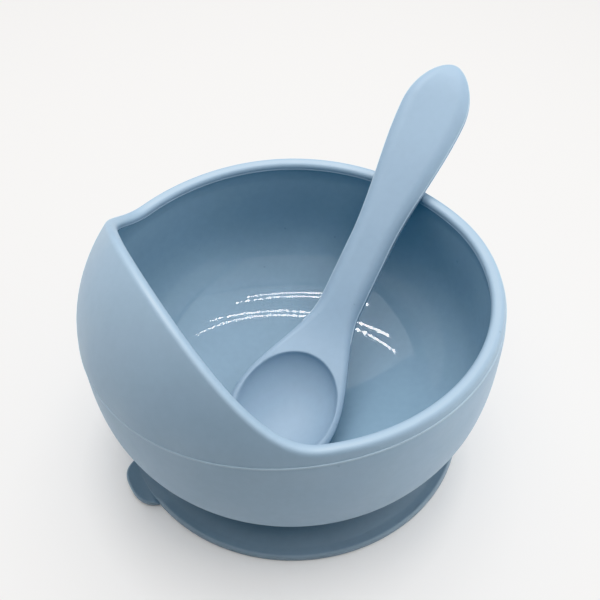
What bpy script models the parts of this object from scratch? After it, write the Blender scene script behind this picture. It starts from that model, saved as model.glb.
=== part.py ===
"""A silicone suction bowl for a small child, with the spoon that lies in it.

The bowl's axis is Z and the table is the plane z = 0.  The hood of the rim and
the pull tab of the suction foot both lie on the -X side, so the bowl is the
same on both sides of the XZ plane.  The spoon leans across it towards +X.
"""

from math import asin, cos, pi, radians, sin, sqrt, tan

import bmesh
import bpy
from mathutils import Euler, Matrix, Vector

MM = 0.001
GAP = 0.3 * MM                  # air between two pieces that touch

# Outer shape of the bowl: two half superellipses that meet at the widest height.
BODY_RADIUS = 62.5 * MM
WIDEST_Z = 55.6 * MM
UNDER_DEPTH = 56.7 * MM         # from the widest height to where the lower curve would close
UNDER_POWER = 3.23
CROWN_RISE = 47.4 * MM          # the same for the upper curve, which only the hood reaches
CROWN_POWER = 1.69
BASE_Z = 8.5 * MM               # flat underside of the bowl

# Inside of the bowl.
WALL = 4.0 * MM
FLOOR_Z = 13.0 * MM
HOLLOW_POWER = 4.6
HOLLOW_CROWN_RISE = 43.7 * MM
HOLLOW_END = radians(80)        # how far down the lower curve goes before the level floor

# The rim lies in a sheet that is level and then sweeps up towards -X as the hood.
RIM_Z = 61.2 * MM               # middle of the rounded rim, so its top is half a wall higher
HOOD_RISE = 24.0 * MM
HOOD_START_X = -23.0 * MM
HOOD_RUN = 23.0 * MM
HOOD_POWER = 2.2

# Suction foot.
FOOT_RADIUS = 55.3 * MM
LIP_HEIGHT = 2.3 * MM
NECK_RADIUS = 33.0 * MM
SEAL_RADIUS = 49.0 * MM         # the flat sealing ring starts here
CUP_DEPTH = 5.2 * MM            # height of the suction dome above the table
NECK_CHAMFER = (1.5 * MM, 1.2 * MM)     # at the top of the neck: inwards, downwards
DISH_INSET = (1.0 * MM, 3.0 * MM)       # the dished top starts outside the neck, ends inside the edge
DISH_DROP = 2.0 * MM            # from the top of the neck to the top of the dish
DISH_LOW = 1.7 * MM             # height of the dish at its outer end
EDGE_CHAMFER = 0.4 * MM         # at the flange's outer edge
EDGE_FLAT = 1.4 * MM            # width of the flat lip beside it
EDGE_UNDERCUT = (1.0 * MM, 0.3 * MM)    # below the edge: inwards, upwards

# Pull tab: a round lobe on the edge of the foot.
TAB_HINGE_X = -54.3 * MM
LOBE_CENTRE_X = -49.0 * MM
LOBE_RADIUS = 11.3 * MM
TAB_THICKNESS = 1.9 * MM
TAB_CURL = 0.9 * MM             # how far the tip stands above the root
TAB_BEAD = 1.1 * MM             # width of the raised edge
TAB_DISH = 0.5 * MM             # depth of the dish inside it
TAB_STEPS = 16                  # steps round its edge

# Spoon, measured along its handle from the tip of its head.
SPOON_LENGTH = 142.2 * MM
HEAD_MIDDLE = 17.8 * MM
HEAD_HALF_WIDTH = 17.0 * MM
NECK_START = 55.5 * MM
NECK_END = 78.0 * MM
NECK_HALF_WIDTH = 7.15 * MM
GRIP_WIDEST = 124.7 * MM
GRIP_HALF_WIDTH = 11.1 * MM
GRIP_END_POWER = 1.6            # how pointed the end of the handle is, seen from above
THICKNESS_END_POWER = 4.0       # and seen from the side
HANDLE_HALF_THICK = 3.9 * MM
HEAD_EDGE_HALF = 1.6 * MM       # half the thickness of the head's edge
BELLY_DEPTH = 8.0 * MM
BELLY_END = 45.0 * MM           # where the belly has run out into the handle
BEND_END = 60.0 * MM            # the head bends up from the handle's line before this point
BEND_RUN = 20.0 * MM
BEND_ANGLE = radians(22.8)
HOLLOW_CENTRE = 19.8 * MM
HOLLOW_SIZE = (18.6 * MM, 15.0 * MM, 6.8 * MM)

# Where the spoon's handle crosses the rim, and how it leans there.
REST_ALONG = 105.5 * MM         # distance from the tip of the head to the crossing
REST_POINT = (55.7 * MM, 21.3 * MM, 69.4 * MM)
SPOON_ROLL = radians(13.0)
SPOON_RISE = radians(38.4)
SPOON_HEADING = radians(26.0)

ROOT_CUTTER_SIZE = (10.0 * MM, 30.0 * MM, 20.0 * MM)

# Fineness of the meshes.
COLUMNS = 72                    # points round each turned shape
WALL_STEPS = 9                  # up the outside to the widest height
CROWN_STEPS = 4                 # from there to the rim, outside and inside
CREST_STEPS = 4                 # over the rim
HOLLOW_STEPS = 13               # down the inside
DISH_STEPS = 6                  # across the flange
DOME_STEPS = 7                  # from the sealing ring to the middle of the dome
SHOULDER_STEPS = 3              # steps up each round shoulder of the spoon's section
FLAT_STEPS = 4                  # steps across its flat top
BELLY_STEPS = 12                # steps round its underside
SLOPE_STEP = 0.1 * MM           # height over which the slope of the wall is measured


def clear_scene():
    for item in list(bpy.data.objects):
        bpy.data.objects.remove(item, do_unlink=True)


def silicone(name, colour, roughness):
    """A plain silicone material; the colour is linear red, green and blue."""
    material = bpy.data.materials.new(name)
    material.use_nodes = True
    shader = material.node_tree.nodes["Principled BSDF"]
    shader.inputs["Base Color"].default_value = (*colour, 1.0)
    shader.inputs["Roughness"].default_value = roughness
    shader.inputs["Metallic"].default_value = 0.0
    return material


def smoothstep(value):
    value = min(max(value, 0.0), 1.0)
    return value * value * (3.0 - 2.0 * value)


def mix(first, last, share):
    return first + (last - first) * share


def round_off(value, power):
    """Height of a superellipse quadrant of unit size at this distance from its middle."""
    return sqrt(max(1.0 - min(abs(value), 1.0) ** power, 0.0))


def loft(name, rings, first_pole, last_pole, material):
    """A closed body through rings of points, with a fan of faces at each end."""
    mesh_data = bmesh.new()
    loops = [[mesh_data.verts.new(point) for point in ring] for ring in rings]
    count = len(loops[0])
    for near, far in zip(loops, loops[1:]):
        for index in range(count):
            after = (index + 1) % count
            mesh_data.faces.new((near[index], near[after], far[after], far[index]))
    for loop, pole in ((loops[0], first_pole), (loops[-1], last_pole)):
        tip = mesh_data.verts.new(pole)
        for index in range(count):
            mesh_data.faces.new((loop[index], loop[(index + 1) % count], tip))
    bmesh.ops.recalc_face_normals(mesh_data, faces=mesh_data.faces[:])
    return finish_mesh(name, mesh_data, material)


def finish_mesh(name, mesh_data, material):
    """Turn the edited mesh into a smooth-shaded object with its material."""
    mesh = bpy.data.meshes.new(name)
    mesh_data.to_mesh(mesh)
    mesh_data.free()
    mesh.shade_smooth()
    mesh.set_sharp_from_angle(angle=radians(40))
    mesh.materials.append(material)
    item = bpy.data.objects.new(name, mesh)
    bpy.context.collection.objects.link(item)
    return item


def subtract(item, cutter):
    """Cut one object by another, which stays as a hidden guide."""
    cutter.hide_render = True
    cutter.display_type = "WIRE"
    cut = item.modifiers.new("cut_by_" + cutter.name, "BOOLEAN")
    cut.operation = "DIFFERENCE"
    cut.solver = "EXACT"
    cut.object = cutter


# ---- bowl -------------------------------------------------------------------

def outer_radius(z):
    """Radius of the bowl's outside at a height."""
    if z < WIDEST_Z:
        return BODY_RADIUS * round_off((WIDEST_Z - z) / UNDER_DEPTH, UNDER_POWER)
    return BODY_RADIUS * round_off((z - WIDEST_Z) / CROWN_RISE, CROWN_POWER)


def inner_crown_radius(z):
    """Radius of the inside above the widest height."""
    return (BODY_RADIUS - WALL) * round_off((z - WIDEST_Z) / HOLLOW_CROWN_RISE, CROWN_POWER)


def rim_sheet(x):
    """Height of the rim's middle line at a distance along X."""
    reach = max((HOOD_START_X - x) / HOOD_RUN, 0.0)
    return RIM_Z + HOOD_RISE * reach ** HOOD_POWER


def rim_height(azimuth):
    """Height at which the outside of the wall meets the rim's sheet, by halving."""
    low, high = RIM_Z - 1.0 * MM, RIM_Z + HOOD_RISE + 2.0 * MM
    for _ in range(40):
        middle = (low + high) / 2
        if rim_sheet(outer_radius(middle) * cos(azimuth)) > middle:
            low = middle
        else:
            high = middle
    return low


def wall_normal(z):
    """Outward normal of the outside, as (radial, upward)."""
    slope = (outer_radius(z + SLOPE_STEP) - outer_radius(z - SLOPE_STEP)) / (2 * SLOPE_STEP)
    length = sqrt(1.0 + slope * slope)
    return 1.0 / length, -slope / length


def curve_below(radius, depth, power, start, end, steps):
    """Points (radius, height) along a half superellipse below the widest height."""
    points = []
    for row in range(steps + 1):
        angle = mix(start, end, row / steps)
        points.append((radius * cos(angle), WIDEST_Z - depth * sin(angle) ** (2 / power)))
    return points


def bowl_section(azimuth):
    """Half section (radius, height) from the underside, over the rim, to the floor."""
    crest_z = rim_height(azimuth)
    out_r, out_z = wall_normal(crest_z)
    base_angle = asin(((WIDEST_Z - BASE_Z) / UNDER_DEPTH) ** (UNDER_POWER / 2))
    under = curve_below(BODY_RADIUS, UNDER_DEPTH, UNDER_POWER, base_angle, 0.0,
                        WALL_STEPS)
    crown = []
    for row in range(1, CROWN_STEPS):
        z = mix(WIDEST_Z, crest_z, row / CROWN_STEPS)
        crown.append((outer_radius(z), z))
    edge = (outer_radius(crest_z), crest_z)
    half = WALL / 2
    crest = []
    for row in range(CREST_STEPS + 1):
        turn = pi * row / CREST_STEPS
        along_r = cos(turn) * out_r - sin(turn) * out_z
        along_z = cos(turn) * out_z + sin(turn) * out_r
        crest.append((edge[0] - half * out_r + half * along_r,
                      edge[1] - half * out_z + half * along_z))
    inner_crown = []
    for row in range(1, CROWN_STEPS):
        z = mix(crest[-1][1], WIDEST_Z, row / CROWN_STEPS)
        inner_crown.append((inner_crown_radius(z), z))
    hollow = curve_below(BODY_RADIUS - WALL, WIDEST_Z - FLOOR_Z, HOLLOW_POWER,
                         0.0, HOLLOW_END, HOLLOW_STEPS)
    return under + crown + crest + inner_crown + hollow


def make_bowl(material):
    """The bowl itself: thick rounded wall, rim with its hood, flat underside."""
    sections = []
    for column in range(COLUMNS):
        azimuth = 2 * pi * column / COLUMNS
        sections.append([(r * cos(azimuth), r * sin(azimuth), z)
                         for r, z in bowl_section(azimuth)])
    rings = [list(ring) for ring in zip(*sections)]
    return loft("bowl", rings, (0.0, 0.0, BASE_Z), (0.0, 0.0, FLOOR_Z), material)


# ---- suction foot and pull tab ----------------------------------------------

def foot_section():
    """Half section (radius, height) of the foot, from its neck round to the dome."""
    neck_top = BASE_Z - GAP
    points = [(NECK_RADIUS - NECK_CHAMFER[0], neck_top), (NECK_RADIUS, neck_top - NECK_CHAMFER[1])]
    dish_high = neck_top - DISH_DROP
    for row in range(DISH_STEPS + 1):
        share = row / DISH_STEPS
        points.append((mix(NECK_RADIUS + DISH_INSET[0], FOOT_RADIUS - DISH_INSET[1], share),
                       mix(DISH_LOW, dish_high, (1 - share) ** 2)))
    points += [(FOOT_RADIUS - EDGE_FLAT, LIP_HEIGHT),
               (FOOT_RADIUS - EDGE_CHAMFER, LIP_HEIGHT - EDGE_CHAMFER),
               (FOOT_RADIUS, LIP_HEIGHT / 2),
               (FOOT_RADIUS - EDGE_CHAMFER, EDGE_UNDERCUT[1]),
               (FOOT_RADIUS - EDGE_UNDERCUT[0], 0.0),
               (SEAL_RADIUS, 0.0)]
    for row in range(1, DOME_STEPS):
        radius = SEAL_RADIUS * (1 - row / DOME_STEPS)
        points.append((radius, CUP_DEPTH * (1 - (radius / SEAL_RADIUS) ** 2)))
    return points


def make_foot(material):
    """The suction foot: neck, thin dished flange, sealing ring and dome."""
    rings = []
    for radius, z in foot_section():
        rings.append([(radius * cos(2 * pi * column / COLUMNS),
                       radius * sin(2 * pi * column / COLUMNS), z)
                      for column in range(COLUMNS)])
    foot = loft("suction_foot", rings, (0.0, 0.0, BASE_Z - GAP), (0.0, 0.0, CUP_DEPTH), material)
    length, width, height = ROOT_CUTTER_SIZE
    bpy.ops.mesh.primitive_cube_add(size=1.0, location=(TAB_HINGE_X - length / 2, 0.0, 0.0))
    cutter = bpy.context.object
    cutter.name = "tab_root_cutter"
    cutter.scale = (length, width, height)
    subtract(foot, cutter)
    return foot


def make_tab(material):
    """The lobe that a finger lifts, with a dished top and a bead round its edge."""
    root_x = TAB_HINGE_X - GAP
    half_angle = pi - asin(sqrt(LOBE_RADIUS ** 2 - (root_x - LOBE_CENTRE_X) ** 2) / LOBE_RADIUS)
    mesh_data = bmesh.new()
    outline = []
    for step in range(TAB_STEPS + 1):
        angle = mix(half_angle, 2 * pi - half_angle, step / TAB_STEPS)
        outline.append(mesh_data.verts.new((LOBE_CENTRE_X + LOBE_RADIUS * cos(angle),
                                            LOBE_RADIUS * sin(angle), GAP)))
    plate = mesh_data.faces.new(outline)
    grown = bmesh.ops.extrude_face_region(mesh_data, geom=[plate])
    raised = [part for part in grown["geom"] if isinstance(part, bmesh.types.BMVert)]
    bmesh.ops.translate(mesh_data, verts=raised, vec=(0.0, 0.0, TAB_THICKNESS))
    top = [part for part in grown["geom"] if isinstance(part, bmesh.types.BMFace)]
    bmesh.ops.inset_region(mesh_data, faces=top, thickness=TAB_BEAD, depth=-TAB_DISH)
    tab_length = LOBE_CENTRE_X - LOBE_RADIUS - root_x
    for vert in mesh_data.verts:
        vert.co.z += TAB_CURL * ((vert.co.x - root_x) / tab_length) ** 2
    bmesh.ops.triangulate(mesh_data, faces=mesh_data.faces[:])
    bmesh.ops.recalc_face_normals(mesh_data, faces=mesh_data.faces[:])
    hinge = Vector((TAB_HINGE_X - GAP / 2, 0.0, GAP + TAB_THICKNESS))
    bmesh.ops.translate(mesh_data, verts=mesh_data.verts[:], vec=-hinge)
    tab = finish_mesh("pull_tab", mesh_data, material)
    tab.location = hinge
    return tab


# ---- spoon ------------------------------------------------------------------

def spoon_half_width(along):
    """Half the spoon's width at a distance from the tip of its head."""
    if along < HEAD_MIDDLE:
        return HEAD_HALF_WIDTH * round_off(1 - along / HEAD_MIDDLE, 2.0)
    if along > GRIP_WIDEST:
        tail = (along - GRIP_WIDEST) / (SPOON_LENGTH - GRIP_WIDEST)
        return GRIP_HALF_WIDTH * round_off(tail, GRIP_END_POWER)
    shoulder = smoothstep((along - HEAD_MIDDLE) / (NECK_START - HEAD_MIDDLE))
    swell = smoothstep((along - NECK_END) / (GRIP_WIDEST - NECK_END))
    return mix(mix(HEAD_HALF_WIDTH, NECK_HALF_WIDTH, shoulder), GRIP_HALF_WIDTH, swell)


def spoon_tail(along):
    """How much of its thickness the handle keeps near its rounded end."""
    if along < GRIP_WIDEST:
        return 1.0
    return round_off((along - GRIP_WIDEST) / (SPOON_LENGTH - GRIP_WIDEST), THICKNESS_END_POWER)


def spoon_top(along):
    """Height of the top face above the spoon's middle line."""
    share = smoothstep((along - 2 * HEAD_MIDDLE) / (BEND_END - 2 * HEAD_MIDDLE))
    return mix(HEAD_EDGE_HALF, HANDLE_HALF_THICK, share) * spoon_tail(along)


def spoon_bottom(along):
    """Depth of the underside below the spoon's middle line."""
    if along < HEAD_MIDDLE:
        return mix(HEAD_EDGE_HALF, BELLY_DEPTH, round_off(1 - along / HEAD_MIDDLE, 2.0))
    share = smoothstep((along - HEAD_MIDDLE) / (BELLY_END - HEAD_MIDDLE))
    return mix(BELLY_DEPTH, HANDLE_HALF_THICK, share) * spoon_tail(along)


def spoon_middle(along):
    """Height of the middle line above the handle's own line, which the head leaves."""
    back = BEND_END - along
    if back <= 0:
        return 0.0
    if back < BEND_RUN:
        return tan(BEND_ANGLE) * back * back / (2 * BEND_RUN)
    return tan(BEND_ANGLE) * (back - BEND_RUN / 2)


def spoon_ring(along):
    """One cross-section: a flat top with round shoulders and a rounder underside."""
    half_width, top, bottom = spoon_half_width(along), spoon_top(along), spoon_bottom(along)
    shoulder = min(top, half_width)
    flat = half_width - shoulder
    edge = []
    for step in range(SHOULDER_STEPS):
        turn = pi / 2 * step / SHOULDER_STEPS
        edge.append((flat + shoulder * cos(turn), top * sin(turn)))
    outline = list(edge)
    for step in range(FLAT_STEPS + 1):
        outline.append((flat * (1 - 2 * step / FLAT_STEPS), top))
    outline += [(-side, rise) for side, rise in reversed(edge)]
    for step in range(1, BELLY_STEPS):
        turn = pi * step / BELLY_STEPS
        outline.append((-half_width * cos(turn), -bottom * sin(turn)))
    return [(along - REST_ALONG, side, spoon_middle(along) + rise) for side, rise in outline]


def spoon_stations():
    """Distances along the spoon, closer together at both rounded ends."""
    head = [HEAD_MIDDLE * (1 - cos(radians(angle))) for angle in range(12, 90, 13)]
    shaft = [mix(HEAD_MIDDLE, GRIP_WIDEST, step / 18) for step in range(19)]
    tail = [mix(GRIP_WIDEST, SPOON_LENGTH, sin(radians(angle))) for angle in range(15, 86, 14)]
    return head + shaft + tail


def make_spoon(material):
    """The spoon: one solid blank, hollowed by an ellipsoid, laid across the rim."""
    rings = [spoon_ring(along) for along in spoon_stations()]
    tip = (-REST_ALONG, 0.0, spoon_middle(0.0))
    end = (SPOON_LENGTH - REST_ALONG, 0.0, 0.0)
    spoon = loft("spoon", rings, tip, end, material)
    placing = Matrix.Translation(REST_POINT) @ Euler(
        (SPOON_ROLL, -SPOON_RISE, SPOON_HEADING)).to_matrix().to_4x4()
    spoon.matrix_world = placing

    centre = Vector((HOLLOW_CENTRE - REST_ALONG, 0.0,
                     spoon_middle(HOLLOW_CENTRE) + HEAD_EDGE_HALF))
    bpy.ops.mesh.primitive_uv_sphere_add(segments=32, ring_count=16, radius=1.0)
    hollow = bpy.context.object
    hollow.name = "spoon_hollow_cutter"
    hollow.matrix_world = (placing @ Matrix.Translation(centre) @ Matrix.Rotation(BEND_ANGLE, 4, "Y")
                           @ Matrix.Diagonal((*HOLLOW_SIZE, 1.0)))
    subtract(spoon, hollow)
    return spoon


def main():
    clear_scene()
    bowl_silicone = silicone("bowl_silicone", (0.300, 0.432, 0.565), 0.45)
    foot_silicone = silicone("foot_silicone", (0.285, 0.412, 0.541), 0.55)
    spoon_silicone = silicone("spoon_silicone", (0.325, 0.462, 0.604), 0.55)
    make_bowl(bowl_silicone)
    make_foot(foot_silicone)
    make_tab(foot_silicone)
    make_spoon(spoon_silicone)


main()
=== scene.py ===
"""The looks of a silicone suction bowl and its spoon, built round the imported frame.

Every piece is turned, lofted or swept from the same curves as the solids it stands for, but much
finer, and carries the small details of a moulded silicone part: the rounded rim with its parting
step, the mould line round the wall, the rounded lip of the foot, the dished pull tab and the
parting line round the spoon's handle. Lengths are in metres; MM turns millimetres into metres.
"""

from math import acos, asin, cos, exp, hypot, pi, radians, sin, sqrt, tan

import bmesh
import bpy
from mathutils import Euler, Matrix, Vector


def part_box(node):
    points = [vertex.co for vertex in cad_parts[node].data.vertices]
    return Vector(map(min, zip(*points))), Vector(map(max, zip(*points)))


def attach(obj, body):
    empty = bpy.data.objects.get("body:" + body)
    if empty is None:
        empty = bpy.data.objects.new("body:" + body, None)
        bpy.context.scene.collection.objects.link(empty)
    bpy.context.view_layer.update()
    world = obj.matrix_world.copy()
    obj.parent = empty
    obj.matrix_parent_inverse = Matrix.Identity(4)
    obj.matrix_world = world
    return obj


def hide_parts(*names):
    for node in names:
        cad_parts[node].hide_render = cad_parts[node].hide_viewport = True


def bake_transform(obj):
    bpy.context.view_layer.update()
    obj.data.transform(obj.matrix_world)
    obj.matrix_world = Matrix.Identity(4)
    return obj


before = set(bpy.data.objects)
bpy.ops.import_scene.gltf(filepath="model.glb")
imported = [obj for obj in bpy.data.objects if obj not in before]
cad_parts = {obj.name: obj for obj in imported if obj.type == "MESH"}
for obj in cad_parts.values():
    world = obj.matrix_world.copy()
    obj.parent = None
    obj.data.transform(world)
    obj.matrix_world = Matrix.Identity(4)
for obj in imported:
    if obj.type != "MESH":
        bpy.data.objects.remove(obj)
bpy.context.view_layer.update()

MM = 0.001

bowl_low, bowl_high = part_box("bowl")
_, foot_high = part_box("suction_foot")
tab_low, tab_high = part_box("pull_tab")

# Outside of the bowl.
BODY_RADIUS = bowl_high.x
BASE_Z = bowl_low.z
WIDEST_Z = 55.6 * MM
UNDER_DEPTH = 56.7 * MM
UNDER_POWER = 3.23
UNDER_CORNER = 2.5 * MM         # how far in from its corner the flat underside starts to round
CROWN_RISE = 47.4 * MM
CROWN_POWER = 1.69

# Inside of the bowl.
WALL = 4.0 * MM
FLOOR_Z = 13.0 * MM
HOLLOW_POWER = 4.6
HOLLOW_CROWN_RISE = 43.7 * MM

# Rim and hood.
RIM_Z = 61.2 * MM
HOOD_RISE = 24.0 * MM
HOOD_START_X = -23.0 * MM
HOOD_RUN = 23.0 * MM
HOOD_POWER = 2.2

# Suction foot.
FOOT_RADIUS = foot_high.x
LIP_HEIGHT = 2.3 * MM
NECK_RADIUS = 33.0 * MM
NECK_FLARE = 1.2 * MM
NECK_FLARE_RISE = 2.0 * MM
SEAL_RADIUS = 49.0 * MM
CUP_DEPTH = 5.2 * MM

# Pull tab.
LOBE_CENTRE_X = -49.0 * MM
LOBE_RADIUS = LOBE_CENTRE_X - tab_low.x
LOBE_HALF_WIDTH = 10.2 * MM
LOBE_POWER = 2.7                # the lobe's outline is squarer than a circle
TAB_SHIFT = -1.0 * MM           # the lobe sits a touch to one side
TAB_LOW = 0.3 * MM              # heights of its underside, its edge's middle, its dish and its rim
TAB_EDGE = 1.3 * MM
TAB_DISH = 1.15 * MM
TAB_TOP = 2.3 * MM
TAB_CURL = 0.9 * MM             # rise of its free end
TAB_ROOT_X = -52.0 * MM

# Spoon, measured along its handle from the tip of its head.
SPOON_LENGTH = 142.2 * MM
HEAD_MIDDLE = 17.8 * MM
HEAD_END = 2.2 * HEAD_MIDDLE    # past the hollow
HEAD_HALF_WIDTH = 17.0 * MM
NECK_START = 55.5 * MM
NECK_END = 78.0 * MM
NECK_HALF_WIDTH = 7.15 * MM
GRIP_WIDEST = 124.7 * MM
GRIP_HALF_WIDTH = 11.1 * MM
GRIP_END_POWER = 0.62           # how pointed the end of the handle is, seen from above
THICKNESS_END_POWER = 4.0       # and seen from the side
HANDLE_HALF_THICK = 3.9 * MM
HEAD_EDGE_HALF = 1.6 * MM
BELLY_DEPTH = 8.0 * MM
BELLY_END = 45.0 * MM
BEND_END = 60.0 * MM
BEND_RUN = 20.0 * MM
BEND_ANGLE = radians(22.8)
SCOOP_CENTRE = 19.8 * MM
SCOOP_SIZE = (18.6 * MM, 15.0 * MM, 7.6 * MM)
SCOOP_TILT = 0.1                # how much deeper the hollow is towards its tip
REST_ALONG = 105.5 * MM
REST_POINT = (55.7 * MM, 21.3 * MM, 69.4 * MM)
SPOON_ROLL = radians(13.0)
SPOON_RISE = radians(38.4)
SPOON_HEADING = radians(26.0)

# Camera: where it looks, seen from the middle of the bowl, and from how far.
CAMERA_TARGET = Vector((2.2 * MM, -1.25 * MM, 54.3 * MM))
CAMERA_DISTANCE = 238.6 * MM
CAMERA_ELEVATION = radians(44.4)
CAMERA_HEADING = radians(-29.4)
CAMERA_ROLL = radians(-0.83)
CAMERA_LENS = 48.0

# Rows of lamps in the top of the light box, which the polished inside mirrors.
STRIP_HEIGHT = 400.0 * MM
STRIP_HALF_LENGTH = 112.0 * MM
STRIP_LAMPS = 32
STRIP_LAMP = (2.6 * MM, 5.0 * MM)
STRIP_WIDENING = 2.0            # how much deeper its lamps get towards the left end
STRIP_GLOW = 230.0
# How far beyond the bowl each row is, its skew, its bow and how much of its right half is lit.
STRIP_ROWS = ((0.083, 0.002, 0.012, 0.5), (0.100, 0.002, 0.012, 0.62),
              (0.155, -0.023, 0.033, 0.85), (0.168, -0.028, 0.061, 1.0))


# ---- small helpers ----------------------------------------------------------

def mix(first, last, share):
    return first + (last - first) * share


def smoothstep(value):
    value = min(max(value, 0.0), 1.0)
    return value * value * (3.0 - 2.0 * value)


def hump(value):
    """A smooth bump of height 1 at 0 that has died out by about 2."""
    return exp(-value * value)


def round_off(value, power):
    """Height of a superellipse quadrant of unit size at this distance from its middle."""
    return sqrt(max(1.0 - min(abs(value), 1.0) ** power, 0.0))


def turned(radius, azimuth, z):
    return radius * cos(azimuth), radius * sin(azimuth), z


def mesh_object(name, mesh_data, materials):
    """A smooth-shaded object from the edited mesh, with its normals facing out."""
    bmesh.ops.recalc_face_normals(mesh_data, faces=mesh_data.faces[:])
    mesh = bpy.data.meshes.new(name)
    mesh_data.to_mesh(mesh)
    mesh_data.free()
    mesh.shade_smooth()
    for material in materials:
        mesh.materials.append(material)
    item = bpy.data.objects.new(name, mesh)
    bpy.context.collection.objects.link(item)
    return item


def loft(name, rings, first_pole, last_pole, materials, second_from=None):
    """A closed body through rings of points; rings from second_from on take the second material."""
    mesh_data = bmesh.new()
    loops = [[mesh_data.verts.new(point) for point in ring] for ring in rings]
    count = len(loops[0])
    for row, (near, far) in enumerate(zip(loops, loops[1:])):
        for index in range(count):
            after = (index + 1) % count
            face = mesh_data.faces.new((near[index], near[after], far[after], far[index]))
            face.material_index = int(second_from is not None and row >= second_from)
    for loop, pole in ((loops[0], first_pole), (loops[-1], last_pole)):
        tip = mesh_data.verts.new(pole)
        for index in range(count):
            face = mesh_data.faces.new((loop[index], loop[(index + 1) % count], tip))
            face.material_index = int(second_from is not None and loop is loops[-1])
    return mesh_object(name, mesh_data, materials)


def tube(name, rings, closed, material):
    """A thin bead through rings of points, joined end to end if it is closed, else capped."""
    mesh_data = bmesh.new()
    loops = [[mesh_data.verts.new(point) for point in ring] for ring in rings]
    for near, far in zip(loops, loops[1:] + loops[:1] if closed else loops[1:]):
        for index in range(len(near)):
            after = (index + 1) % len(near)
            mesh_data.faces.new((near[index], near[after], far[after], far[index]))
    if not closed:
        mesh_data.faces.new(loops[0])
        mesh_data.faces.new(loops[-1])
    return mesh_object(name, mesh_data, (material,))


# ---- bowl -------------------------------------------------------------------

BOWL_COLUMNS = 256
COLUMN_CROWDING = 0.6           # how much closer together the columns are at the hood
UNDERSIDE_RADII = (12 * MM, 24 * MM, 33 * MM)
WALL_ROWS = 56
CORNER_STEPS = 8
CORNER_JOIN = 4                 # row of the wall that the underside's rounded corner runs to
CROWN_ROWS = 13
CREST_ROWS = 18
LIP_STEP = 0.12 * MM            # spacing of the rows that carry the parting step of the rim
LIP_ROWS = 15
MATTE_LIP_ROWS = LIP_ROWS - 6   # the last rows of the step already belong to the polished inside
INNER_CROWN_ROWS = 15
HOLLOW_ROWS = 84
HALVINGS = 40
CREST_POWER = 2.5               # the rim is a little squarer than a half round
RIM_WAVE = 0.8 * MM
RIM_WAVES = 3                   # waves that would fit in a full turn
RIM_WAVE_TOP = radians(62)      # angle at which one of them has its top
RIM_WAVE_SIDE = radians(70)     # middle of the half of the rim that waves

# Parting step of the rim, measured down the wall from the crest's inner edge.
GROOVE_PLACE = -0.35 * MM
GROOVE_WIDTH = 0.16 * MM
GROOVE_DEPTH = 0.16 * MM
BEAD_PLACE = 0.15 * MM
BEAD_WIDTH = 0.24 * MM
BEAD_HEIGHT = 0.14 * MM

# Mould line round the wall.
LINE_Z = 60.1 * MM
LINE_DIP = 6.0 * MM
LINE_DIP_POWER = 5
LINE_HALF_WIDTH = 0.32 * MM
LINE_PROUD = 0.2 * MM
LINE_SIDES = 8


def outer_radius(z):
    if z < WIDEST_Z:
        return BODY_RADIUS * round_off((WIDEST_Z - z) / UNDER_DEPTH, UNDER_POWER)
    return BODY_RADIUS * round_off((z - WIDEST_Z) / CROWN_RISE, CROWN_POWER)


def inner_crown_radius(z):
    return (BODY_RADIUS - WALL) * round_off((z - WIDEST_Z) / HOLLOW_CROWN_RISE, CROWN_POWER)


def rim_sheet(x):
    """Height of the rim's middle line at a distance along X."""
    reach = max((HOOD_START_X - x) / HOOD_RUN, 0.0)
    return RIM_Z + HOOD_RISE * reach ** HOOD_POWER


def rim_height(azimuth):
    """Height at which the outside of the wall meets the rim's sheet, by halving."""
    low, high = RIM_Z - 1.0 * MM, RIM_Z + HOOD_RISE + 2.0 * MM
    for _ in range(HALVINGS):
        middle = (low + high) / 2
        if rim_sheet(outer_radius(middle) * cos(azimuth)) > middle:
            low = middle
        else:
            high = middle
    return low


def wall_normal(z):
    """Outward normal of the outside, as (radial, upward)."""
    step = 0.1 * MM
    slope = (outer_radius(z + step) - outer_radius(z - step)) / (2 * step)
    length = hypot(1.0, slope)
    return 1.0 / length, -slope / length


def curve_below(radius, depth, power, last_angle, rows):
    """Points (radius, height) down a half superellipse, evenly spaced along its wall."""
    points = []
    for row in range(rows):
        angle = last_angle * (row / (rows - 1)) ** (power / 2)
        points.append((radius * cos(angle), WIDEST_Z - depth * sin(angle) ** (2 / power)))
    return points


def underside():
    """The flat underside and the rounded corner where it turns up into the wall."""
    base_angle = asin(((WIDEST_Z - BASE_Z) / UNDER_DEPTH) ** (UNDER_POWER / 2))
    wall = curve_below(BODY_RADIUS, UNDER_DEPTH, UNDER_POWER, base_angle, WALL_ROWS)
    wall.reverse()
    corner = wall[0]
    start = (corner[0] - UNDER_CORNER, corner[1])
    end = wall[CORNER_JOIN]
    points = [(radius, BASE_Z) for radius in UNDERSIDE_RADII]
    for step in range(CORNER_STEPS + 1):
        share = step / CORNER_STEPS
        near, middle, far = (1 - share) ** 2, 2 * share * (1 - share), share ** 2
        points.append((near * start[0] + middle * corner[0] + far * end[0],
                       near * start[1] + middle * corner[1] + far * end[1]))
    return points + wall[CORNER_JOIN + 1:]


def lip_relief(distance):
    """Step of the rim's inner edge: a hairline groove, then a fine bead, then the smooth wall."""
    groove = hump((distance - GROOVE_PLACE) / GROOVE_WIDTH)
    bead = hump((distance - BEAD_PLACE) / BEAD_WIDTH)
    return BEAD_HEIGHT * bead - GROOVE_DEPTH * groove


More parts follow.
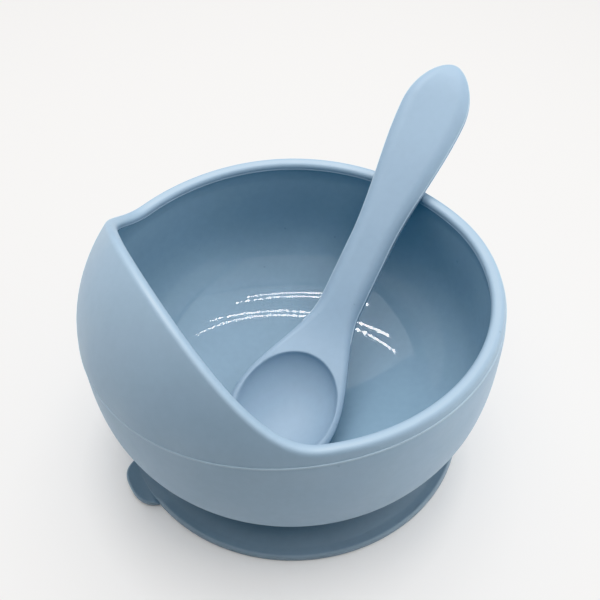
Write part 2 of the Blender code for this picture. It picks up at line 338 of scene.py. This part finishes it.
def crest(crest_z):
    """The rounded rim from the outside of the wall to its inner edge, then the parting step."""
    out_r, out_z = wall_normal(crest_z)
    half = WALL / 2
    centre_r = outer_radius(crest_z) - half * out_r
    centre_z = crest_z - half * out_z

    def at(turn, reach):
        square = abs(cos(turn)) ** CREST_POWER + abs(sin(turn)) ** CREST_POWER
        reach *= square ** (-1 / CREST_POWER)
        return (centre_r + reach * (cos(turn) * out_r - sin(turn) * out_z),
                centre_z + reach * (cos(turn) * out_z + sin(turn) * out_r))

    first = -LIP_STEP * (LIP_ROWS // 2)
    last_turn = pi + first / half
    points = [at(last_turn * row / CREST_ROWS, half) for row in range(CREST_ROWS)]
    down_r, down_z = out_z, -out_r
    end_r, end_z = at(pi, half)
    for row in range(LIP_ROWS):
        distance = first + LIP_STEP * row
        relief = lip_relief(distance)
        if distance < 0:
            points.append(at(pi + distance / half, half + relief))
        else:
            points.append((end_r + distance * down_r - relief * out_r,
                           end_z + distance * down_z - relief * out_z))
    return points


def rim_wave(azimuth):
    """The soft rim isn't quite level: it waves a little along one side."""
    share = smoothstep(2 * cos(azimuth - RIM_WAVE_SIDE))
    return RIM_WAVE * share * cos(RIM_WAVES * (azimuth - RIM_WAVE_TOP))


def bowl_section(azimuth, under):
    """Half section from the underside, over the rim, down the inside to the floor."""
    crest_z = rim_height(azimuth) + rim_wave(azimuth)
    crown = []
    for row in range(1, CROWN_ROWS + 1):
        z = mix(WIDEST_Z, crest_z, row / (CROWN_ROWS + 1))
        crown.append((outer_radius(z), z))
    rim = crest(crest_z)
    end_r, end_z = rim[-1]
    slip = end_r - inner_crown_radius(end_z)
    inner_crown = []
    for row in range(1, INNER_CROWN_ROWS + 1):
        share = row / (INNER_CROWN_ROWS + 1)
        z = mix(end_z, WIDEST_Z, share)
        inner_crown.append((inner_crown_radius(z) + slip * (1 - share) ** 2, z))
    hollow = curve_below(BODY_RADIUS - WALL, WIDEST_Z - FLOOR_Z, HOLLOW_POWER, radians(89),
                         HOLLOW_ROWS)
    return under + crown + rim + inner_crown + hollow


def bowl_azimuths():
    """Angles round the bowl, closer together at the hood, whose edge turns sharply."""
    angles = []
    for column in range(BOWL_COLUMNS):
        even = 2 * pi * column / BOWL_COLUMNS
        angles.append(even + COLUMN_CROWDING * sin(even))
    return angles


def make_bowl(matte, polished):
    under = underside()
    sections = []
    for azimuth in bowl_azimuths():
        sections.append([turned(r, azimuth, z) for r, z in bowl_section(azimuth, under)])
    rings = [list(ring) for ring in zip(*sections)]
    inside_from = len(under) + CROWN_ROWS + CREST_ROWS + MATTE_LIP_ROWS
    bowl = loft("bowl_shell", rings, (0.0, 0.0, BASE_Z), (0.0, 0.0, FLOOR_Z),
                (matte, polished), second_from=inside_from)
    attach(bowl, "bowl")
    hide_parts("bowl")
    return bowl


def mould_line_height(azimuth):
    """The mould's parting line runs just under the rim and sinks a little below the hood."""
    return LINE_Z - LINE_DIP * ((1 - cos(azimuth)) / 2) ** LINE_DIP_POWER


def make_mould_line(material):
    """A hair-thin bead all round the outside of the wall."""
    rings = []
    for azimuth in bowl_azimuths():
        z = mould_line_height(azimuth)
        out_r, out_z = wall_normal(z)
        ring = []
        for side in range(LINE_SIDES):
            turn = 2 * pi * side / LINE_SIDES
            outward, upward = LINE_PROUD * cos(turn), LINE_HALF_WIDTH * sin(turn)
            radius = outer_radius(z) + outward * out_r - upward * out_z
            ring.append(turned(radius, azimuth, z + outward * out_z + upward * out_r))
        rings.append(ring)
    line = tube("mould_line", rings, True, material)
    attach(line, "bowl")
    return line


# ---- suction foot and pull tab ----------------------------------------------

FOOT_COLUMNS = 192
NECK_TOP = BASE_Z + 0.1 * MM    # the neck runs just into the underside of the bowl
DISH_START = NECK_RADIUS + 1.0 * MM
DISH_END = FOOT_RADIUS - 3.0 * MM
DISH_LOW = 1.7 * MM
DISH_HIGH = 6.2 * MM
DISH_POWER = 1.4
DISH_ROWS = 22
EDGE_ROUND = 0.8 * MM           # rounding of the flange's outer edge
SEAL_INSET = 0.6 * MM           # the flat seal starts this far in from the edge's rounding
SEAL_ROWS = 5
DOME_ROWS = 24
# Where and how far the flange's lip sinks beside the pull tab.
SINK_START = DISH_END - 2.0 * MM
SINK_HALF_WIDTH = LOBE_HALF_WIDTH + 0.5 * MM
SINK_FADE = 4.0 * MM
SINK_HEIGHT = 1.45 * MM


def flange_height(radius):
    """Height of the flange's dished top."""
    share = (radius - DISH_START) / (DISH_END - DISH_START)
    return DISH_LOW + (DISH_HIGH - DISH_LOW) * max(1 - share, 0.0) ** DISH_POWER


def foot_section():
    """Half section from the top of the neck, over the flange and its rounded edge, to the dome."""
    points = []
    for angle in range(0, 91, 15):
        turn = radians(angle)
        points.append((NECK_RADIUS + NECK_FLARE * (1 - sin(turn)),
                       NECK_TOP - NECK_FLARE_RISE * (1 - cos(turn))))
    for row in range(DISH_ROWS):
        radius = mix(DISH_START, DISH_END, row / (DISH_ROWS - 1))
        points.append((radius, flange_height(radius)))
    edge_r = FOOT_RADIUS - EDGE_ROUND
    for angle in range(110, -1, -10):
        turn = radians(angle)
        points.append((edge_r + EDGE_ROUND * cos(turn),
                       LIP_HEIGHT - EDGE_ROUND + EDGE_ROUND * sin(turn)))
    for angle in range(0, 91, 10):
        turn = radians(angle)
        points.append((edge_r + EDGE_ROUND * cos(turn), EDGE_ROUND - EDGE_ROUND * sin(turn)))
    for row in range(SEAL_ROWS):
        points.append((mix(edge_r - SEAL_INSET, SEAL_RADIUS, row / (SEAL_ROWS - 1)), 0.0))
    for row in range(1, DOME_ROWS):
        radius = SEAL_RADIUS * (1 - row / DOME_ROWS)
        points.append((radius, CUP_DEPTH * (1 - (radius / SEAL_RADIUS) ** 2)))
    return points


def lip_sink(azimuth, radius, z):
    """Near the pull tab the flange's raised lip dies out, so that it runs into the tab."""
    side = abs(radius * sin(azimuth) - TAB_SHIFT)
    if cos(azimuth) > 0 or radius < SINK_START or z < LIP_HEIGHT / 2:
        return z
    share = smoothstep((SINK_HALF_WIDTH - side) / SINK_FADE)
    return mix(z, min(z, SINK_HEIGHT), share)


def make_foot(material):
    rings = []
    for radius, z in foot_section():
        ring = []
        for column in range(FOOT_COLUMNS):
            azimuth = 2 * pi * column / FOOT_COLUMNS
            ring.append(turned(radius, azimuth, lip_sink(azimuth, radius, z)))
        rings.append(ring)
    foot = loft("suction_disc", rings, (0.0, 0.0, NECK_TOP), (0.0, 0.0, CUP_DEPTH), (material,))
    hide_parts("suction_foot")
    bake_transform(foot)
    return foot


# Rows and columns of the pull tab, its raised edge, and how its top tucks in under the flange.
TAB_COLUMNS = 72
TAB_ROWS = 26
TAB_ROW_POWER = 1.5             # the rows are closer together at its edge
TAB_BEAD_WIDTH = 6.0 * MM
TAB_ROUND = 0.7 * MM
TAB_NARROWING = 0.55
TUCK_START_X = -55.6 * MM
TUCK_RUN = 1.6 * MM
TUCK_HEIGHT = 1.2 * MM


def tab_heights(x, y):
    """Bottom and top of the tab at a point: a dish with a raised bead round the free edge."""
    across = abs(x - LOBE_CENTRE_X) / LOBE_RADIUS
    along = abs(y - TAB_SHIFT) / LOBE_HALF_WIDTH
    edge = LOBE_RADIUS * (1.0 - (across ** LOBE_POWER + along ** LOBE_POWER) ** (1 / LOBE_POWER))
    out = max((tab_high.x - x) / (tab_high.x - tab_low.x), 0.0)
    curl = TAB_CURL * out ** 2
    rise = max(1.0 - edge / TAB_BEAD_WIDTH, 0.0) ** 2
    half_round = round_off(1 - min(edge / TAB_ROUND, 1.0), 2.0)
    middle = TAB_EDGE + curl
    top = mix(TAB_DISH, TAB_TOP, rise) + curl
    bottom = TAB_LOW + curl
    return mix(middle, bottom, half_round), mix(middle, top, half_round)


def tab_line(angle, outline_power):
    """Points from the tab's edge in to its root, as its top line and its bottom line."""
    side = abs(sin(angle)) ** outline_power
    rim = Vector((LOBE_CENTRE_X - LOBE_RADIUS * cos(angle) ** outline_power,
                  TAB_SHIFT + LOBE_HALF_WIDTH * (side if angle > 0 else -side)))
    heart = Vector((TAB_ROOT_X, TAB_SHIFT + (rim.y - TAB_SHIFT) * TAB_NARROWING))
    top_line, bottom_line = [], []
    for row in range(TAB_ROWS + 1):
        x, y = rim.lerp(heart, (row / TAB_ROWS) ** TAB_ROW_POWER)
        low, high = tab_heights(x, y)
        tuck = smoothstep((x - TUCK_START_X) / TUCK_RUN)
        top_line.append((x, y, mix(high, TUCK_HEIGHT, tuck)))
        bottom_line.append((x, y, low))
    return top_line, bottom_line


def make_tab(material):
    """The lobe that a finger lifts; its root is a tongue inside the edge of the flange."""
    root_share = (LOBE_CENTRE_X - TAB_ROOT_X) / LOBE_RADIUS
    half_angle = acos(root_share ** (LOBE_POWER / 2))
    mesh_data = bmesh.new()
    tops, bottoms = [], []
    for column in range(TAB_COLUMNS + 1):
        angle = mix(half_angle, -half_angle, column / TAB_COLUMNS)
        top_line, bottom_line = tab_line(angle, 2 / LOBE_POWER)
        edge = mesh_data.verts.new(top_line[0])
        top, bottom = [edge], [edge]
        for high, low in zip(top_line[1:], bottom_line[1:]):
            top.append(mesh_data.verts.new(high))
            bottom.append(mesh_data.verts.new(low))
        tops.append(top)
        bottoms.append(bottom)
    for near, far in zip(range(TAB_COLUMNS), range(1, TAB_COLUMNS + 1)):
        for row in range(TAB_ROWS):
            mesh_data.faces.new((tops[near][row], tops[far][row],
                                 tops[far][row + 1], tops[near][row + 1]))
            mesh_data.faces.new((bottoms[near][row], bottoms[near][row + 1],
                                 bottoms[far][row + 1], bottoms[far][row]))
        mesh_data.faces.new((tops[near][-1], tops[far][-1], bottoms[far][-1], bottoms[near][-1]))
    for column in (0, TAB_COLUMNS):
        for row in range(TAB_ROWS):
            corners = [tops[column][row], tops[column][row + 1], bottoms[column][row + 1]]
            if row:
                corners.append(bottoms[column][row])
            mesh_data.faces.new(corners)
    tab = mesh_object("pull_lobe", mesh_data, (material,))
    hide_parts("pull_tab")
    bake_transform(tab)
    return tab


# ---- spoon ------------------------------------------------------------------

SHOULDER_SPREAD = 1.15          # the shoulders are wider than they are high
# Angles of the points round a shoulder, closer together at the parting line, and underneath.
SHOULDER_ANGLES = (0, 6, 12, 17, 20, 22, 24, 26, 28, 30, 33, 38, 44, 51, 59, 67, 75, 82)
BOTTOM_ANGLES = range(5, 180, 5)
FLAT_STEPS = 64
SCOOP_STATIONS = 60
SHAFT_STATIONS = 50
LINE_STATIONS = 90
PARTING_TURN = radians(26.0)    # how far up the shoulder the mould's parting line runs
PARTING_BEAD = 0.1 * MM
PARTING_WIDTH = 0.26 * MM
PARTING_PROUD = 0.2 * MM
PARTING_SIDES = 6
SCOOP_POWER = 0.7               # fullness of the hollow's section
SCOOP_ROUND = 0.8 * MM          # rounding of the hollow's edge
SCOOP_CLEARANCE = 60 * MM       # how steeply the hollow's surface rises clear outside its edge


def spoon_half_width(along):
    if along < HEAD_MIDDLE:
        return HEAD_HALF_WIDTH * round_off(1 - along / HEAD_MIDDLE, 2.0)
    if along > GRIP_WIDEST:
        tail = (along - GRIP_WIDEST) / (SPOON_LENGTH - GRIP_WIDEST)
        return GRIP_HALF_WIDTH * (1.0 - tail * tail) ** GRIP_END_POWER
    shoulder = smoothstep((along - HEAD_MIDDLE) / (NECK_START - HEAD_MIDDLE))
    swell = smoothstep((along - NECK_END) / (GRIP_WIDEST - NECK_END))
    return mix(mix(HEAD_HALF_WIDTH, NECK_HALF_WIDTH, shoulder), GRIP_HALF_WIDTH, swell)


def spoon_tail(along):
    """How much of its thickness the handle keeps near its rounded end."""
    if along < GRIP_WIDEST:
        return 1.0
    return round_off((along - GRIP_WIDEST) / (SPOON_LENGTH - GRIP_WIDEST), THICKNESS_END_POWER)


def spoon_top(along):
    share = smoothstep((along - 2 * HEAD_MIDDLE) / (BEND_END - 2 * HEAD_MIDDLE))
    return mix(HEAD_EDGE_HALF, HANDLE_HALF_THICK, share) * spoon_tail(along)


def spoon_bottom(along):
    if along < HEAD_MIDDLE:
        return mix(HEAD_EDGE_HALF, BELLY_DEPTH, round_off(1 - along / HEAD_MIDDLE, 2.0))
    share = smoothstep((along - HEAD_MIDDLE) / (BELLY_END - HEAD_MIDDLE))
    return mix(BELLY_DEPTH, HANDLE_HALF_THICK, share) * spoon_tail(along)


def spoon_middle(along):
    """Height of the middle line above the handle's own line, which the head leaves."""
    back = BEND_END - along
    if back <= 0:
        return 0.0
    if back < BEND_RUN:
        return tan(BEND_ANGLE) * back * back / (2 * BEND_RUN)
    return tan(BEND_ANGLE) * (back - BEND_RUN / 2)


def soft_min(first, second, softness):
    """The smaller of two heights, with the corner between them rounded off."""
    overlap = max(softness - abs(first - second), 0.0) / softness
    return min(first, second) - overlap * overlap * softness / 4


def scoop_height(along, side, top):
    """Height of the head's top with its hollow: a rounded scoop sunk into the sloping face."""
    slope = tan(BEND_ANGLE)
    reach = (along - SCOOP_CENTRE) / cos(BEND_ANGLE)
    spread = hypot(reach / SCOOP_SIZE[0], side / SCOOP_SIZE[1])
    face = spoon_middle(SCOOP_CENTRE) + HEAD_EDGE_HALF - slope * (along - SCOOP_CENTRE)
    if spread >= 1.0:
        depth = -(spread - 1.0) * SCOOP_CLEARANCE
    else:
        tilt = 1.0 - SCOOP_TILT * reach / SCOOP_SIZE[0]
        depth = SCOOP_SIZE[2] / cos(BEND_ANGLE) * (1 - spread ** 2) ** SCOOP_POWER * tilt
    return soft_min(top, face - depth, SCOOP_ROUND)


def parting(distance):
    """The fine bead that the mould leaves along the spoon, part way up its shoulder."""
    return PARTING_BEAD * hump(distance / PARTING_WIDTH)


def spoon_ring(along):
    """One cross-section: a flat top with round shoulders and a rounder underside."""
    half_width, top, bottom = spoon_half_width(along), spoon_top(along), spoon_bottom(along)
    shoulder = min(SHOULDER_SPREAD * top, half_width)
    flat = half_width - shoulder
    edge = []
    for angle in SHOULDER_ANGLES:
        turn = radians(angle)
        reach = shoulder + parting((turn - PARTING_TURN) * top)
        edge.append((flat + reach * cos(turn), top * sin(turn)))
    outline = list(edge)
    for step in range(FLAT_STEPS + 1):
        outline.append((flat * (1 - 2 * step / FLAT_STEPS), top))
    outline += [(-side, rise) for side, rise in reversed(edge)]
    for angle in BOTTOM_ANGLES:
        turn = radians(angle)
        outline.append((-half_width * cos(turn), -bottom * sin(turn)))
    ring = []
    for side, rise in outline:
        height = spoon_middle(along) + rise
        if rise > 0 and along < HEAD_END:
            height = scoop_height(along, side, height)
        ring.append((along - REST_ALONG, side, height))
    return ring


def spoon_stations():
    """Distances along the spoon, closer together at both rounded ends and over the hollow."""
    head = [HEAD_MIDDLE * (1 - cos(radians(angle))) for angle in range(2, 90)]
    scoop = [mix(HEAD_MIDDLE, HEAD_END, step / SCOOP_STATIONS) for step in range(SCOOP_STATIONS)]
    shaft = [mix(HEAD_END, GRIP_WIDEST, step / SHAFT_STATIONS) for step in range(SHAFT_STATIONS)]
    tail = [mix(GRIP_WIDEST, SPOON_LENGTH, sin(radians(angle))) for angle in range(0, 89, 3)]
    return head + scoop + shaft + tail


def lay_spoon(item):
    """Move a piece of the spoon from its own line to where the spoon rests on the rim."""
    lean = Euler((SPOON_ROLL, -SPOON_RISE, SPOON_HEADING)).to_matrix().to_4x4()
    item.data.transform(Matrix.Translation(REST_POINT) @ lean)


def make_spoon(material):
    rings = [spoon_ring(along) for along in spoon_stations()]
    tip = (-REST_ALONG, 0.0, spoon_middle(0.0))
    end = (SPOON_LENGTH - REST_ALONG, 0.0, 0.0)
    spoon = loft("feeding_spoon", rings, tip, end, (material,))
    lay_spoon(spoon)
    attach(spoon, "spoon")
    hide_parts("spoon")
    return spoon


def make_parting_line(material):
    """A hair-thin bead along both edges of the handle, joined round its end."""
    stations = [mix(BELLY_END, GRIP_WIDEST, step / LINE_STATIONS) for step in range(LINE_STATIONS)]
    stations += [mix(GRIP_WIDEST, SPOON_LENGTH, sin(radians(angle))) for angle in range(0, 88, 2)]
    edge = []
    for along in stations:
        half_width, top = spoon_half_width(along), spoon_top(along)
        shoulder = min(SHOULDER_SPREAD * top, half_width)
        side = half_width - shoulder + shoulder * cos(PARTING_TURN)
        edge.append((along - REST_ALONG, side, spoon_middle(along) + top * sin(PARTING_TURN)))
    path = [Vector(point) for point in edge]
    path += [Vector((x, -side, z)) for x, side, z in reversed(edge)]
    rings = []
    for index, point in enumerate(path):
        ahead = path[min(index + 1, len(path) - 1)] - path[max(index - 1, 0)]
        across = ahead.cross(Vector((0.0, 0.0, 1.0))).normalized()
        upward = across.cross(ahead).normalized()
        ring = []
        for side in range(PARTING_SIDES):
            turn = 2 * pi * side / PARTING_SIDES
            ring.append(point + PARTING_PROUD * (cos(turn) * across + sin(turn) * upward))
        rings.append(ring)
    line = tube("spoon_parting_line", rings, False, material)
    lay_spoon(line)
    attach(line, "spoon")
    return line


# ---- materials --------------------------------------------------------------

# Scales of the noises in the silicone, from its broad colour clouds down to its fine grain.
CLOUD_SCALE = 28.0
WAVE_SCALE = 55.0
GLOSS_SCALE = 65.0
SPECK_SCALE = 95.0
MOTTLE_SCALE = 420.0
GRAIN_SCALE = 2600.0
CLOUD_SHADES = (0.97, 1.03)
MOTTLE_SHADES = (0.985, 1.015)
SPECK_SHADE = 0.86
SPECK_CORE, SPECK_EDGE = 0.025, 0.05        # radii of a speck, in the texture's own units
GLOSS_SPREAD = 0.12
FLOOR_SCALE = 30.0
FLOOR_SHADES = (0.90, 0.91)
FLOOR_TINT = (1.0, 0.985, 0.97)


def silicone(name, colour, roughness, grain, waves, specular=0.5):
    """Moulded silicone: faint colour clouds and specks, uneven gloss, fine grain and soft waves."""
    material = bpy.data.materials.new(name)
    material.use_nodes = True
    tree = material.node_tree
    nodes, links = tree.nodes, tree.links
    shader = nodes["Principled BSDF"]
    place = nodes.new("ShaderNodeTexCoord").outputs["Object"]

    def noise(scale, detail):
        texture = nodes.new("ShaderNodeTexNoise")
        texture.inputs["Scale"].default_value = scale
        texture.inputs["Detail"].default_value = detail
        links.new(place, texture.inputs["Vector"])
        return texture.outputs["Fac"]

    def remap(value, start, end, low, high):
        """Turn the values from start to end into those from low to high."""
        mapping = nodes.new("ShaderNodeMapRange")
        mapping.inputs["From Min"].default_value = start
        mapping.inputs["From Max"].default_value = end
        mapping.inputs["To Min"].default_value = low
        mapping.inputs["To Max"].default_value = high
        links.new(value, mapping.inputs["Value"])
        return mapping.outputs["Result"]

    def spread(value, low, high):
        """Stretch the middle of a noise over a range of values."""
        return remap(value, 0.3, 0.7, low, high)

    def multiply(first, second):
        product = nodes.new("ShaderNodeMath")
        product.operation = "MULTIPLY"
        links.new(first, product.inputs[0])
        links.new(second, product.inputs[1])
        return product.outputs["Value"]

    def bump(height, distance):
        """A bump of this depth in metres."""
        node = nodes.new("ShaderNodeBump")
        node.inputs["Strength"].default_value = 1.0
        node.inputs["Distance"].default_value = distance
        links.new(height, node.inputs["Height"])
        return node

    clouds = spread(noise(CLOUD_SCALE, 3.0), *CLOUD_SHADES)
    mottle = spread(noise(MOTTLE_SCALE, 2.0), *MOTTLE_SHADES)
    specks = nodes.new("ShaderNodeTexVoronoi")
    specks.inputs["Scale"].default_value = SPECK_SCALE
    links.new(place, specks.inputs["Vector"])
    speck_shade = remap(specks.outputs["Distance"], SPECK_CORE, SPECK_EDGE, SPECK_SHADE, 1.0)
    tint = nodes.new("ShaderNodeVectorMath")
    tint.operation = "SCALE"
    tint.inputs[0].default_value = colour
    links.new(multiply(multiply(clouds, mottle), speck_shade), tint.inputs["Scale"])
    links.new(tint.outputs["Vector"], shader.inputs["Base Color"])

    gloss = spread(noise(GLOSS_SCALE, 4.0), roughness * (1 - GLOSS_SPREAD),
                   roughness * (1 + GLOSS_SPREAD))
    links.new(gloss, shader.inputs["Roughness"])

    fine = bump(noise(GRAIN_SCALE, 3.0), grain)
    soft = bump(noise(WAVE_SCALE, 1.0), waves)
    links.new(fine.outputs["Normal"], soft.inputs["Normal"])
    links.new(soft.outputs["Normal"], shader.inputs["Normal"])

    shader.inputs["Metallic"].default_value = 0.0
    shader.inputs["Specular IOR Level"].default_value = specular
    return material


def pale_floor():
    """Matt white card with the faintest mottle."""
    material = bpy.data.materials.new("white_card")
    material.use_nodes = True
    nodes, links = material.node_tree.nodes, material.node_tree.links
    shader = nodes["Principled BSDF"]
    texture = nodes.new("ShaderNodeTexNoise")
    texture.inputs["Scale"].default_value = FLOOR_SCALE
    ramp = nodes.new("ShaderNodeMapRange")
    ramp.inputs["To Min"].default_value, ramp.inputs["To Max"].default_value = FLOOR_SHADES
    tint = nodes.new("ShaderNodeVectorMath")
    tint.operation = "SCALE"
    tint.inputs[0].default_value = FLOOR_TINT
    links.new(texture.outputs["Fac"], ramp.inputs["Value"])
    links.new(ramp.outputs["Result"], tint.inputs["Scale"])
    links.new(tint.outputs["Vector"], shader.inputs["Base Color"])
    shader.inputs["Roughness"].default_value = 0.9
    shader.inputs["Specular IOR Level"].default_value = 0.2
    return material


# ---- studio -----------------------------------------------------------------

WORLD_FILL = 0.06               # faint light from all round
WORLD_BACKDROP = 0.85           # how bright the same surroundings look behind the floor
FLOOR_RADIUS = 0.5
FLOOR_GAP = 0.05 * MM           # the floor is this far below the foot
TOP_HEIGHT = 0.41               # height of the panels in the top of the light box
SIDE_REACH = 0.26               # and how far to each side the others stand, and how high
SIDE_HEIGHT = 0.20


def away(distance, side, height):
    """A point this far beyond the bowl as the camera sees it, to its right, and up."""
    ahead = Vector((-sin(CAMERA_HEADING), cos(CAMERA_HEADING), 0.0))
    right = Vector((cos(CAMERA_HEADING), sin(CAMERA_HEADING), 0.0))
    return ahead * distance + right * side + Vector((0.0, 0.0, height))


def make_camera():
    data = bpy.data.cameras.new("camera")
    data.lens = CAMERA_LENS
    data.sensor_width = 36.0
    data.clip_start = 0.01
    camera = bpy.data.objects.new("camera", data)
    bpy.context.collection.objects.link(camera)
    back = -away(cos(CAMERA_ELEVATION), 0.0, -sin(CAMERA_ELEVATION))
    turn = back.to_track_quat("Z", "Y").to_matrix().to_4x4()
    camera.matrix_world = (Matrix.Translation(CAMERA_TARGET + back * CAMERA_DISTANCE) @ turn
                           @ Matrix.Rotation(CAMERA_ROLL, 4, "Z"))
    bpy.context.scene.camera = camera


def panel(name, place, facing, size, power):
    """A rectangular light of some watts, facing a direction, its width left to right."""
    data = bpy.data.lights.new(name, "AREA")
    data.shape = "RECTANGLE"
    data.size, data.size_y = size
    data.energy = power
    light = bpy.data.objects.new(name, data)
    bpy.context.collection.objects.link(light)
    back = -facing.normalized()
    level = Vector((0.0, 0.0, 1.0)) if abs(back.z) < 0.9 else away(1.0, 0.0, 0.0)
    right = level.cross(back).normalized()
    turn = Matrix((right, back.cross(right), back)).transposed().to_4x4()
    light.matrix_world = Matrix.Translation(place) @ turn
    light.visible_camera = False
    return light


def make_strip(name, ahead, skew, bow, end):
    """A bowed row of small lamps across the top of the light box, facing down."""
    mesh_data = bmesh.new()
    for lamp in range(STRIP_LAMPS):
        share = mix(-1.0, end, lamp / (STRIP_LAMPS - 1))
        half_deep = STRIP_LAMP[0] / 2 * (1 + STRIP_WIDENING * max(-share, 0.0))
        half_long = STRIP_LAMP[1] / 2
        middle = ahead + skew * share + bow * share ** 2
        side = STRIP_HALF_LENGTH * share
        corners = [away(middle + u * half_deep, side + v * half_long, STRIP_HEIGHT)
                   for u, v in ((-1, -1), (-1, 1), (1, 1), (1, -1))]
        mesh_data.faces.new([mesh_data.verts.new(corner) for corner in corners])
    glow = bpy.data.materials.new(name + "_glow")
    glow.use_nodes = True
    shader = glow.node_tree.nodes["Principled BSDF"]
    shader.inputs["Base Color"].default_value = (0.0, 0.0, 0.0, 1.0)
    shader.inputs["Emission Color"].default_value = (1.0, 1.0, 1.0, 1.0)
    shader.inputs["Emission Strength"].default_value = STRIP_GLOW
    strip = mesh_object(name, mesh_data, (glow,))
    strip.visible_camera = False
    strip.visible_diffuse = False


def make_studio():
    """A small light box: lit top with four rows of lamps, lit sides, open towards the camera."""
    world = bpy.data.worlds.new("studio")
    bpy.context.scene.world = world
    world.use_nodes = True
    nodes, links = world.node_tree.nodes, world.node_tree.links
    background = nodes["Background"]
    background.inputs["Color"].default_value = (0.97, 0.98, 1.0, 1.0)
    path = nodes.new("ShaderNodeLightPath")
    strength = nodes.new("ShaderNodeMapRange")
    strength.inputs["To Min"].default_value = WORLD_FILL
    strength.inputs["To Max"].default_value = WORLD_BACKDROP
    links.new(path.outputs["Is Camera Ray"], strength.inputs["Value"])
    links.new(strength.outputs["Result"], background.inputs["Strength"])

    down = Vector((0.0, 0.0, -1.0))
    rightward = away(0.0, 1.0, 0.0)
    left, right = -SIDE_REACH, SIDE_REACH
    panel("top", away(0.26, 0.02, TOP_HEIGHT), down, (0.42, 0.44), 2.20)
    panel("top_front", away(-0.15, 0.02, TOP_HEIGHT), down, (0.42, 0.36), 1.22)
    panel("left", away(0.15, left, SIDE_HEIGHT), rightward, (0.60, 0.40), 0.79)
    panel("right", away(0.30, right, SIDE_HEIGHT), -rightward, (0.34, 0.40), 0.26)
    panel("right_front", away(-0.05, right, SIDE_HEIGHT), -rightward, (0.34, 0.40), 0.70)
    for index, row in enumerate(STRIP_ROWS):
        make_strip("led_strip_%d" % index, *row)

    bpy.ops.mesh.primitive_circle_add(vertices=96, radius=FLOOR_RADIUS, fill_type="NGON",
                                      location=(0.0, 0.0, -FLOOR_GAP))
    floor = bpy.context.object
    floor.name = "floor"
    floor.data.materials.append(pale_floor())
    bpy.context.scene.view_settings.view_transform = "Khronos PBR Neutral"


# ---- the whole scene --------------------------------------------------------

make_camera()
make_studio()

outer_silicone = silicone("outer_silicone", (0.277, 0.381, 0.481), 0.55, 0.012 * MM, 0.01 * MM)
# The inside is the same silicone as the outside, but its colour is darker: painted shade inside the
# bowl. Its low roughness is the real polish.
shaded_inner_silicone = silicone("shaded_inner_silicone", (0.235, 0.341, 0.434), 0.035, 0.00005 * MM, 0.004 * MM,
                          specular=0.12)
# The foot and the pull tab are the same silicone as the bowl, but their colour is darker: painted
# shade for the shadow under the bowl.
shaded_foot_silicone = silicone("shaded_foot_skin", (0.241, 0.317, 0.386), 0.5, 0.012 * MM, 0.01 * MM)
spoon_silicone = silicone("spoon_skin", (0.270, 0.368, 0.470), 0.6, 0.012 * MM, 0.01 * MM,
                          specular=0.28)
# The mould line and the spoon's parting line are the same silicone, but their colour is lighter: a
# painted highlight along the beads.
highlit_line_silicone = silicone("highlit_line_skin", (0.36, 0.47, 0.56), 0.5, 0.006 * MM, 0.0)

make_bowl(outer_silicone, shaded_inner_silicone)
make_mould_line(highlit_line_silicone)
make_foot(shaded_foot_silicone)
make_tab(shaded_foot_silicone)
make_spoon(spoon_silicone)
make_parting_line(highlit_line_silicone)
